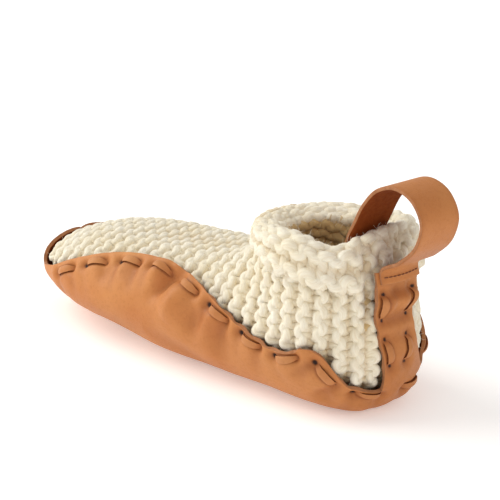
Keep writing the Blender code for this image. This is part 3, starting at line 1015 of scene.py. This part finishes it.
def lay_strap(u, v):
    j = np.rint(u * STRAP_COLUMNS).astype(int)
    i = np.rint(v * STRAP_ROWS).astype(int)
    return strap_points[i, j]


strap_mesh = sheet("pull_strap", STRAP_COLUMNS, STRAP_ROWS, lay_strap)
face_outward(strap_mesh, inside=(-0.030, 0.0, 0.100))
v_of = np.repeat(np.linspace(0, 1, STRAP_ROWS + 1), STRAP_COLUMNS + 1)
u_of = np.tile(np.linspace(-1, 1, STRAP_COLUMNS + 1), STRAP_ROWS + 1)
# Painted shade in the strap's two bends, and darker along its edges.
bend = np.exp(-(((v_of - 0.17) / 0.05) ** 2)) + 0.5 * np.exp(-(((v_of - 0.62) / 0.08) ** 2))
store(strap_mesh, "crease_shade", 0.30 * bend + 0.35 * ramp(np.abs(u_of), 0.80, 1.0))
store(strap_mesh, "hole_shade", np.zeros(len(v_of)))
strap = show("pull_strap", strap_mesh, grain, flesh, cut_edge)
give_thickness(strap, STRAP_THICK, 0.0, edge=2, inner=1, round_by=0.0004)
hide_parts("pull_loop")
print("strap length:", round(strap_length, 3))

# %% The seam that holds the strap
SEAM_STITCHES = 9
SEAM_ALONG = 0.0042


def seam_lines():
    """Short stitches side by side across the strap, where it crosses the top of the tab."""
    i = int(SEAM_ALONG * STRAP_ROWS / strap_length)
    row = strap_points[i]
    ahead = strap_points[i + 1] - strap_points[i]
    lines = []
    for k in range(SEAM_STITCHES):
        ends = (k + np.array((0.12, 0.35, 0.65, 0.88))) / SEAM_STITCHES
        ends = 0.05 + 0.90 * ends
        spots = np.stack([np.interp(ends, np.linspace(0, 1, len(row)), row[:, c]) for c in range(3)], 1)
        out = np.cross(row[-1] - row[0], ahead[0])
        out /= np.linalg.norm(out)
        out *= -np.sign(out[0])
        lift = STRAP_THICK / 2 + np.array((-0.0002, 0.00022, 0.00022, -0.0002))
        lines.append((spots + np.outer(lift, out), np.ones(4)))
    return lines


seam = show("strap_seam", strands("strap_seam", seam_lines(), 0.00032), thread)
print("seam stitches:", SEAM_STITCHES)

# %% [markdown]
# ## The insole
#
# A thin leather pad lies on the knit's floor. It shows only as a dark floor deep inside, so it
# is a plain pad with a pressed edge, laid on the floor of the last.

# %% Insole pad
INSOLE_THICK = 0.0025
INSOLE_SHARE = 0.25
INSOLE_START = 0.05
INSOLE_END = 0.73


def lay_insole(u, v):
    along = INSOLE_START + (INSOLE_END - INSOLE_START) * v
    narrow = 1 - ramp(along, INSOLE_END - 0.10, INSOLE_END + 0.02) * 0.6
    share = INSOLE_SHARE * narrow * (2 * u - 1)
    points, out = on_form(along, share, -KNIT_WALL - KNIT_GAP)
    edge = ramp(np.abs(2 * u - 1), 0.86, 1.0)
    points[:, 2] += INSOLE_THICK - 0.0006 * edge
    return points


pad_mesh = sheet("insole_pad", 32, 120, lay_insole)
if sum(f.normal.z for f in pad_mesh.polygons) < 0:
    pad_mesh.flip_normals()
# Painted shade along the pressed edge.
store(pad_mesh, "crease_shade", 0.3 * ramp(np.abs(positions(pad_mesh)[:, 1]), 0.018, 0.030))
store(pad_mesh, "hole_shade", np.zeros(len(pad_mesh.vertices)))
pad = show("insole_pad", pad_mesh, footbed, cut_edge)
give_thickness(pad, INSOLE_THICK * 0.8, -1.0, edge=1, inner=1)
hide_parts("insole")
print("insole faces:", len(pad.data.polygons))

# %% [markdown]
# ## Knitting the foot
#
# The foot is garter stitch: every row is knitted, so the crests of one row and the feet of the
# next stand out together as a ridge, and ridges follow each other along the foot. Each row is
# one strand. Its line across the foot is where an upright plane cuts the last, and on that line
# the strand makes its loops. A displaced surface could fake the ridges, but only real loops pass
# over and under each other, and let the hollows between them go dark.

# %% Lines that the rows follow
YARN = 0.0023
ROW = 0.0048
STITCH = 0.0076
TURN_X = 0.004
TURN_RADIUS = 0.036
SPLIT_X = 0.056
LEVEL_Z = 0.050
LINE_SAMPLES = 181
LINE_REACH = 0.120

half = GRID_COLUMNS // 2
left_skin = np.concatenate([SKIN[:, half:], np.array(halves)[:, -1:]], axis=1)
left_share = np.linspace(0.0, 1.0, half + 1)


def station(points):
    """How far along the foot a row through a point lies: its x, and round the heel its angle."""
    x, y = points[..., 0], points[..., 1]
    turn = np.arctan2(TURN_X - x, np.maximum(y, 1e-6))
    return np.where(x > TURN_X, x, TURN_X - TURN_RADIUS * turn)


STATION = station(left_skin)


def row_line(at):
    """Places (along, share) of one row on the left, from its top down to the sole's middle."""
    if at >= SPLIT_X:
        along = np.array([np.interp(-at, -STATION[:, j], GRID_ALONG) for j in range(half, -1, -1)])
        return along, left_share[::-1]
    rings = [i for i in range(GRID_ROWS - 1, 0, -1) if STATION[i, 0] < at]
    share = np.array([np.interp(at, STATION[i], left_share) for i in rings])
    return GRID_ALONG[rings], share


def measured(at):
    """The row's places at even steps of its length, from the crest of the instep downwards."""
    along, share = row_line(at)
    points = on_form(along, share)[0]
    steps = np.linalg.norm(np.diff(points, axis=0), axis=1)
    run = np.concatenate(([0.0], np.cumsum(steps)))
    if at < SPLIT_X:
        level = np.interp(-LEVEL_Z, -points[:, 2], run)
        run += LEVEL_RUN - level
    steps = np.linspace(0.0, LINE_REACH, LINE_SAMPLES)
    return np.interp(steps, run, along), np.interp(steps, run, share), run[0], run[-1]


LEVEL_RUN = 0.0
crest = on_form(*row_line(SPLIT_X + 0.001))[0]
crest_run = np.concatenate(([0.0], np.cumsum(np.linalg.norm(np.diff(crest, axis=0), axis=1))))
LEVEL_RUN = float(np.interp(-LEVEL_Z, -crest[:, 2], crest_run))


def row_stations():
    """Even steps along the top of the foot, and along the side and round the heel behind it."""
    top = left_skin[:, -1]
    front = top[(top[:, 0] > SPLIT_X) & (GRID_ALONG < 0.8)]
    run = np.concatenate(([0.0], np.cumsum(np.linalg.norm(np.diff(front, axis=0), axis=1))))
    toe = np.interp(np.arange(0.0025, run[-1], ROW), run, front[:, 0])
    back = toe[-1] - ROW * np.arange(1, 60)
    return np.concatenate([toe, back[back > TURN_X - TURN_RADIUS * math.pi / 2 + 0.001]])


stations = row_stations()
lines = [measured(at) for at in stations]
LINE_ALONG = np.array([line[0] for line in lines])
LINE_SHARE = np.array([line[1] for line in lines])
print("rows:", len(stations), "level at", round(LEVEL_RUN, 4))


# %% Loops of garter stitch on a row
CREST_OFF = 0.0015
LOOP_DEPTH = 0.0023
LOOP_WIDE = 0.12
YARN_MIDDLE = -0.0033
YARN_INNERMOST = -0.0054
INSTEP_HOLLOW = 0.0022
TOE_HOLLOW = 0.0008
POINTS_PER_STITCH = 20


def address(row, v):
    """Place on the last of a point v down from the crest and any fraction of a row along."""
    row = np.clip(row, 0, len(stations) - 1.001)
    step = np.clip(np.abs(v) / LINE_REACH * (LINE_SAMPLES - 1), 0, LINE_SAMPLES - 1.001)
    i, j = row.astype(int), step.astype(int)
    a, b = row - i, step - j

    def between(grid):
        near = (1 - b) * grid[i, j] + b * grid[i, j + 1]
        far = (1 - b) * grid[i + 1, j] + b * grid[i + 1, j + 1]
        return (1 - a) * near + a * far

    return between(LINE_ALONG), between(LINE_SHARE) * np.sign(v)


def garter(row, start, end):
    """One strand of loops from v = start to v = end. Odd rows turn their feet outwards."""
    count = max(2, int(abs(end - start) / STITCH * POINTS_PER_STITCH))
    v = np.linspace(start, end, count)
    turn = 2 * math.pi * v / STITCH
    wobble = 0.12 * np.sin(v / 0.0093 + row * 1.7) + 0.10 * np.sin(v / 0.0041 + row * 2.9)
    height = (ROW / 2 + CREST_OFF) / ROW * (1 + 0.10 * wobble)
    across = row + height * np.cos(turn)
    v_loop = v + LOOP_WIDE * STITCH * np.sin(2 * turn) + 0.0004 * np.sin(v / 0.013 + row * 4.1)
    along, share = address(across, v_loop)
    facing = 1 if row % 2 == 0 else -1
    lift = YARN_MIDDLE + facing * LOOP_DEPTH * np.cos(turn) + 0.0005 * wobble
    instep = ramp(np.abs(share), 0.82, 0.98) * ramp(along, 0.18, 0.36) * (1 - ramp(along, 0.50, 0.60))
    toe = ramp(np.abs(share), 0.45, 0.72) * (1 - ramp(along, 0.09, 0.16))
    lift = lift - INSTEP_HOLLOW * instep - TOE_HOLLOW * toe
    return along, share, np.maximum(lift, YARN_INNERMOST)


def under_leather(along, share, trim=1.0):
    """True where the leather covers a point of the last, its tab trimmed to a part of its width."""
    size, at = np.abs(share), np.minimum(along, NECK)
    reach = hem_share(at, share)
    body = (size < reach) & (along < NECK + heel_rise(NECK, share))
    return body | ((size < trim * tab_half(along, share)) & (along < TAB_TOP))


def leather_edge(row, side):
    """How far down a row the last bare knit lies, where the row goes under the hem."""
    along, share, _, _ = lines[row]
    bare = np.nonzero(~under_leather(along, share * side, 0.5))[0]
    return bare[-1] / (LINE_SAMPLES - 1) * LINE_REACH if len(bare) else 0.0


def tuck(v, start, end):
    """How far a strand sinks under the leather or the cuff near its two ends."""
    room = np.minimum(np.abs(v - start), np.abs(end - v))
    return 1 - ramp(room, 0.0, 0.0055)


TUCKED = 0.0060
SINK = 0.0030
TAB_SINK = 0.0048


def knit_rows():
    """Strands of the whole foot: over the instep in front of the collar, and up each side behind."""
    made = []
    for row in range(len(stations)):
        left, right = leather_edge(row, 1) + TUCKED, leather_edge(row, -1) + TUCKED
        top = lines[row][2]
        if stations[row] > CUFF_FRONT:
            spans = [(-right, left)]
        else:
            start = max(top, 0.0) + 0.002
            sides = ((1, left), (-1, right))
            spans = [(side * start, side * end) for side, end in sides if end > start + STITCH]
        for start, end in spans:
            along, share, lift = garter(row, start, end)
            v = np.linspace(start, end, len(along))
            covered = np.pad(under_leather(along, share, 0.9) * 1.0, 8, "edge")
            hidden = np.convolve(covered, np.ones(17) / 17, "valid")
            lift = lift - np.maximum(SINK * tuck(v, start, end), TAB_SINK * hidden)
            points, out = on_form(along, share, lift)
            widths = 1 + 0.07 * np.sin(v / 0.0063 + row) + 0.05 * np.sin(v / 0.0027 + row * 2.2)
            widths[[0, -1]] = 0.05
            # The last value, deep, says how far the yarn lies in the hollows; the wool paints shade by it.
            made.append((row, points, widths, np.clip((YARN_MIDDLE + 0.0010 - lift) / 0.0034, 0, 1)))
    return made


CUFF_FRONT = float(on_form(CUFF_LOW + 0.03, 1.0)[0][0])
knitted = knit_rows()
print("strands:", len(knitted), "cuff front at", round(CUFF_FRONT, 4))

# %% Yarn pieces, from the toe back to the heel
YARN_SIDES = 8
PIECE_ROWS = 16


def yarn_piece(name, chosen, thick, node, cyclic=False):
    threads = [(points, widths) for _, points, widths, _ in chosen]
    mesh = strands(name, threads, thick, YARN_SIDES, cyclic)
    strand_address(mesh, threads, thick, YARN_SIDES)
    store(mesh, "deep", np.repeat(np.concatenate([deep for *_, deep in chosen]), YARN_SIDES))
    piece = show(name, mesh, wool)
    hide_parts(node)
    return piece


yarn_pieces = []
for first in range(0, len(stations), PIECE_ROWS):
    chosen = [k for k in knitted if first <= k[0] < first + PIECE_ROWS]
    if chosen:
        name = f"garter_rows_{first // PIECE_ROWS + 1}"
        yarn_pieces.append(yarn_piece(name, chosen, YARN, "knit_upper"))
print("yarn pieces:", [(p.name, len(p.data.polygons)) for p in yarn_pieces])

# %% [markdown]
# ## Behind the loops
#
# A real garter fabric is closed: the back of each loop fills the hollow in front. Our strands
# leave pinholes, so a thin felted sheet lies inside them and stands for the loops' backs. Its
# colour is warmer and darker than the crests: painted shade, as falls inside a hollow.

# %% Inner felt of the knit
FELT_LIFT = -0.0050
FELT_THICK = 0.0009


def lay_felt(u, v):
    along = 0.012 + (0.985 - 0.012) * v
    return on_form(along, 2 * u - 1, FELT_LIFT)[0]


felt_mesh = sheet("knit_felt", 120, 150, lay_felt)
joined = bmesh.new()
joined.from_mesh(felt_mesh)
bmesh.ops.remove_doubles(joined, verts=joined.verts, dist=0.00005)
joined.to_mesh(felt_mesh)
joined.free()
felt = show("knit_felt", face_outward(felt_mesh), hollow_shade_wool)
give_thickness(felt, FELT_THICK, -1.0, edge=0, inner=0)
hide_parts("knit_upper")
print("felt faces:", len(felt.data.polygons))

# %% [markdown]
# ## The cuff
#
# The top of the knit is folded over into a thick band, and its rows run round the collar. So its
# last is a fold: up the outside, over the crown and down inside. Closed strands run round it in
# the same garter loops, a little thicker and looser, and the rim dips where the photo shows it.

# %% The cuff's own last
CUFF_CROWN = 0.0052
CUFF_INSIDE_SHARE = 0.45
CUFF_COLUMNS = 240
CUFF_SAMPLES = 120
CUFF_YARN = 0.0027
CUFF_ROW = 0.0047
CUFF_MIDDLE = -0.0044
CUFF_DEPTH = 0.0019
STRAP_BED = 0.0018
CUFF_STITCHES = 25
RIM_DROP = np.array(
    (
        # share  drop
        (-1.00, 0.0032),
        (-0.75, 0.0028),
        (-0.50, 0.0024),
        (-0.30, 0.0008),
        (-0.10, -0.0016),
        (0.03, -0.0010),
        (0.14, 0.0016),
        (0.27, 0.0040),
        (0.36, 0.0010),
        (0.50, -0.0008),
        (0.65, 0.0008),
        (0.80, 0.0026),
        (1.00, 0.0032),
    )
)


def cuff_outside(share):
    return CUFF_TUCKED + (CUFF_THICK - CUFF_TUCKED) * ramp(np.abs(share), 0.12, 0.26)


def cuff_section(share):
    """Line up the outside of the cuff, over its crown and down inside."""
    rim, out = (x[0] for x in on_form(np.array([1.0]), np.array([share])))
    up = rim - on_form(0.97, share)[0]
    up /= np.linalg.norm(up)
    inside = -KNIT_WALL - KNIT_GAP
    outside = KNIT_GAP + cuff_outside(share) - STRAP_BED * (1 - ramp(abs(share), 0.115, 0.150))
    middle, span = (outside + inside - CUFF_INSIDE) / 2, (outside - inside + CUFF_INSIDE) / 2
    height = 1.0 - CUFF_LOW
    low = [(1.05, 0.55 * outside), (1.00, 0.85 * outside)]
    low += [(f, outside) for f in (0.93, 0.75, 0.5, 0.25)]
    section = [on_form(1 - height * f, share, d)[0] for f, d in low]
    for turn in np.linspace(0.0, math.pi, 9):
        across = middle + span * math.cos(turn)
        section.append(rim + out * across + up * (CUFF_CROWN * math.sin(turn) + KNIT_GAP))
    for f in (0.4, 1.0):
        section.append(on_form(1 - CUFF_INSIDE_SHARE * height * f, share, inside - CUFF_INSIDE)[0])
    for f in (1.8, 2.8, 3.8, 4.8):
        section.append(on_form(1 - CUFF_INSIDE_SHARE * height * f, share, inside - CUFF_INSIDE)[0])
    section = np.array(section)
    drop = smooth_through(RIM_DROP[:, 0], RIM_DROP[:, 1], share)
    section[:, 2] -= drop * ramp(section[:, 2], 0.068, 0.086)
    steps = np.linalg.norm(np.diff(section, axis=0), axis=1)
    run = np.concatenate(([0.0], np.cumsum(steps)))
    even = np.linspace(0.0, run[-1], CUFF_SAMPLES)
    return np.stack([np.interp(even, run, section[:, k]) for k in range(3)], 1), run[-1]


cuff_shares = -1 + 2 * np.arange(CUFF_COLUMNS) / CUFF_COLUMNS
cuff_lines, cuff_lengths = zip(*(cuff_section(s) for s in cuff_shares))
CUFF = np.array(cuff_lines)
CUFF_OUT = np.cross(np.gradient(CUFF, axis=1), np.roll(CUFF, 1, 0) - np.roll(CUFF, -1, 0))
CUFF_OUT /= np.linalg.norm(CUFF_OUT, axis=2, keepdims=True)
if CUFF_OUT[CUFF_COLUMNS // 4, 20, 1] * CUFF[CUFF_COLUMNS // 4, 20, 1] < 0:
    CUFF_OUT = -CUFF_OUT
cuff_length = float(np.mean(cuff_lengths))
print("cuff band:", round(cuff_length, 4))


def on_cuff(turn, down, lift):
    """Point at a share of a full turn round the cuff and a share of its band, at a lift."""
    c = (turn % 1.0) * CUFF_COLUMNS
    d = np.clip(down, 0, 1) * (CUFF_SAMPLES - 1.001)
    i, j = c.astype(int), d.astype(int)
    a, b = (c - i)[:, None], (d - j)[:, None]
    i, k = i % CUFF_COLUMNS, (i + 1) % CUFF_COLUMNS

    def between(grid):
        return (1 - a) * ((1 - b) * grid[i, j] + b * grid[i, j + 1]) + a * (
            (1 - b) * grid[k, j] + b * grid[k, j + 1]
        )

    out = between(CUFF_OUT)
    out /= np.linalg.norm(out, axis=1, keepdims=True)
    return between(CUFF) + out * np.asarray(lift)[:, None]


# %% Rows of the cuff
def cuff_rows():
    rows = int(cuff_length / CUFF_ROW)
    made = []
    for row in range(rows):
        count = CUFF_STITCHES * POINTS_PER_STITCH
        turn = np.arange(count) / count
        phase = 2 * math.pi * turn * CUFF_STITCHES
        wobble = 0.5 * np.sin(phase * 0.37 + row * 1.3) + 0.5 * np.sin(phase * 0.81 + row * 2.7)
        height = (0.5 + CREST_OFF / CUFF_ROW) * (1 + 0.12 * wobble)
        down = (row + 0.85 + height * np.cos(phase)) / (rows + 0.7)
        shift = LOOP_WIDE / CUFF_STITCHES * np.sin(2 * phase) + 0.004 * np.sin(row * 1.9)
        facing = 1 if row % 2 == 0 else -1
        lift = CUFF_MIDDLE + facing * CUFF_DEPTH * np.cos(phase) + 0.0006 * wobble
        share = np.abs((turn + shift) % 1.0 * 2 - 1)
        pressed = (1 - ramp(share, 0.115, 0.150)) * (1 - ramp(down, 0.22, 0.30) + ramp(down, 0.42, 0.50))
        lined = -0.0026 + facing * 0.0010 * np.cos(phase)
        lift = lift + (lined - lift) * ramp(down, 0.55, 0.65) - STRAP_BED * pressed
        points = on_cuff(turn + shift, down, lift)
        widths = 1 + 0.08 * np.sin(phase * 0.61 + row) + 0.05 * np.sin(phase * 1.7 + row * 2)
        # deep on the cuff: painted shade in the hollows of its outer loops, and painted shade over the
        # whole inner wall of the collar.
        deep = np.clip((-0.0026 - lift) / 0.0036, 0, 1)
        deep = 0.7 * deep * (down < 0.6) + 1.3 * ramp(down, 0.59, 0.69)
        made.append((row, points, widths, np.clip(deep, 0, 1.3)))
    return made


cuff_piece = yarn_piece("cuff_rows", cuff_rows(), CUFF_YARN, "collar_cuff", cyclic=True)


def lay_cuff_felt(u, v):
    return on_cuff(u * 0.99999, v, np.full(len(u), -0.0062))


cuff_felt_mesh = sheet("cuff_felt", 160, 40, lay_cuff_felt)
cuff_felt = show("cuff_felt", cuff_felt_mesh, hollow_shade_wool)
give_thickness(cuff_felt, FELT_THICK, 0.0, edge=0, inner=0)
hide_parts("collar_cuff")
print("cuff faces:", len(cuff_piece.data.polygons))

# %% [markdown]
# ## Loose fibres
#
# Wool is never clean at its edge: fine fibres stand off the strands and soften the outline. Hair
# particles would be lost when the model leaves Blender, so a few thousand fibres are modelled as
# hair-thin strands that root on the yarn, leave it at random angles and curl.

# %% Fluff on the yarn
FIBRE = 0.00005
FIBRES_FOOT = 5200
FIBRES_CUFF = 4200


def fibres(name, pieces, count, longest, node):
    roots, outs = [], []
    for piece in pieces:
        mesh = piece.data
        roots.append(positions(mesh))
        flat = np.empty(len(mesh.vertices) * 3)
        mesh.vertex_normals.foreach_get("vector", flat)
        outs.append(flat.reshape(-1, 3))
    roots, outs = np.concatenate(roots), np.concatenate(outs)
    deep = np.concatenate([np.array([x.value for x in p.data.attributes["deep"].data]) for p in pieces])
    chosen = rng.choice(np.nonzero(deep < 0.55)[0], count, replace=False)
    lines = []
    for k in chosen:
        out = outs[k]
        lean = rng.normal(0, 0.75, 3)
        ahead = out + lean - out * float(lean @ out) * 0.5
        ahead /= np.linalg.norm(ahead)
        curl = np.cross(ahead, rng.normal(0, 1, 3)) * 0.35
        long = longest * rng.uniform(0.35, 1.0)
        t = np.array((-0.1, 0.35, 0.7, 1.0)) * long
        points = roots[k] + np.outer(t, ahead) + np.outer((t / long) ** 2 * long, curl)
        lines.append((points, (1.0, 1.0, 0.8, 0.35)))
    mesh = strands(name, lines, FIBRE, 4)
    piece = show(name, mesh, fluff)
    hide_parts(node)
    return piece


foot_fluff = fibres("foot_fluff", yarn_pieces, FIBRES_FOOT, 0.0030, "knit_upper")
cuff_fluff = fibres("cuff_fluff", [cuff_piece], FIBRES_CUFF, 0.0042, "collar_cuff")
print("fluff faces:", len(foot_fluff.data.polygons) + len(cuff_fluff.data.polygons))

# %% [markdown]
# ## Floor, light and camera
#
# The photo is a catalogue shot: a white sweep, one large soft light from the toe's side, a white
# room that fills the shadows, and a long lens behind the slipper's left side. The sweep glows a
# little, as one that is lit from behind does, so that it stays white round the shadow.

# %% Stage
def lay_floor(u, v):
    return np.stack([(u - 0.5) * 6, (v - 0.5) * 6, np.zeros(len(u))], 1)


def paint_floor(wire):
    return {"Base Color": wire.noise(wire.place(), 1.5, 1.0).mix((0.93, 0.925, 0.92), (0.90, 0.895, 0.89))}


floor_finish = finish(
    "white_sweep",
    paint_floor,
    Roughness=0.9,
    Specular_IOR_Level=0.0,
    Emission_Color=(1, 1, 1, 1),
    Emission_Strength=0.30,
)
floor_mesh = sheet("floor", 4, 4, lay_floor)
floor_mesh.materials.append(floor_finish)
floor = bpy.data.objects.new("floor", floor_mesh)
bpy.context.scene.collection.objects.link(floor)
floor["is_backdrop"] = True


def area_light(name, place, target, size, power, colour):
    data = bpy.data.lights.new(name, "AREA")
    data.shape = "DISK"
    data.size = size
    data.energy = power
    data.color = colour
    lamp = bpy.data.objects.new(name, data)
    bpy.context.scene.collection.objects.link(lamp)
    lamp.location = place
    lamp.rotation_euler = (Vector(target) - Vector(place)).to_track_quat("-Z", "Y").to_euler()


area_light("key", (2.3, 1.2, 1.9), (0.08, 0, 0.04), 3.0, 77.0, (1.0, 0.99, 0.95))
area_light("back_fill", (-0.9, 0.3, 0.6), (0.05, 0, 0.05), 0.9, 1.6, (1.0, 0.84, 0.70))
world = bpy.data.worlds.new("room")
world.use_nodes = True
world.node_tree.nodes["Background"].inputs["Color"].default_value = (1.0, 1.0, 1.0, 1.0)
world.node_tree.nodes["Background"].inputs["Strength"].default_value = 0.61
bpy.context.scene.world = world

# %% Camera
AZIMUTH = 228.1
ELEVATION = 18.25
DISTANCE = 1.1
AIM = (0.0861, -0.0089, 0.0541)
LENS = 152.7
SENSOR = 36.0

bpy.context.scene.view_settings.view_transform = "Standard"
lens = bpy.data.cameras.new("camera")
lens.lens = LENS
lens.sensor_width = SENSOR
camera = bpy.data.objects.new("camera", lens)
bpy.context.scene.collection.objects.link(camera)
a, e = math.radians(AZIMUTH), math.radians(ELEVATION)
back = Vector((math.sin(a) * math.cos(e), -math.cos(a) * math.cos(e), math.sin(e)))
camera.location = Vector(AIM) + back * DISTANCE
camera.rotation_euler = (-back).to_track_quat("-Z", "Y").to_euler()
bpy.context.scene.camera = camera
print("camera at", [round(x, 3) for x in camera.location])

# %% Sizes kept for comparison, and the end of the script
shown_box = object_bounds()
before, after = (np.array([list(c) for c in box]) for box in (cad_box, shown_box))
print("grew by (mm):", ((after - before) * 1000).round(1).tolist())
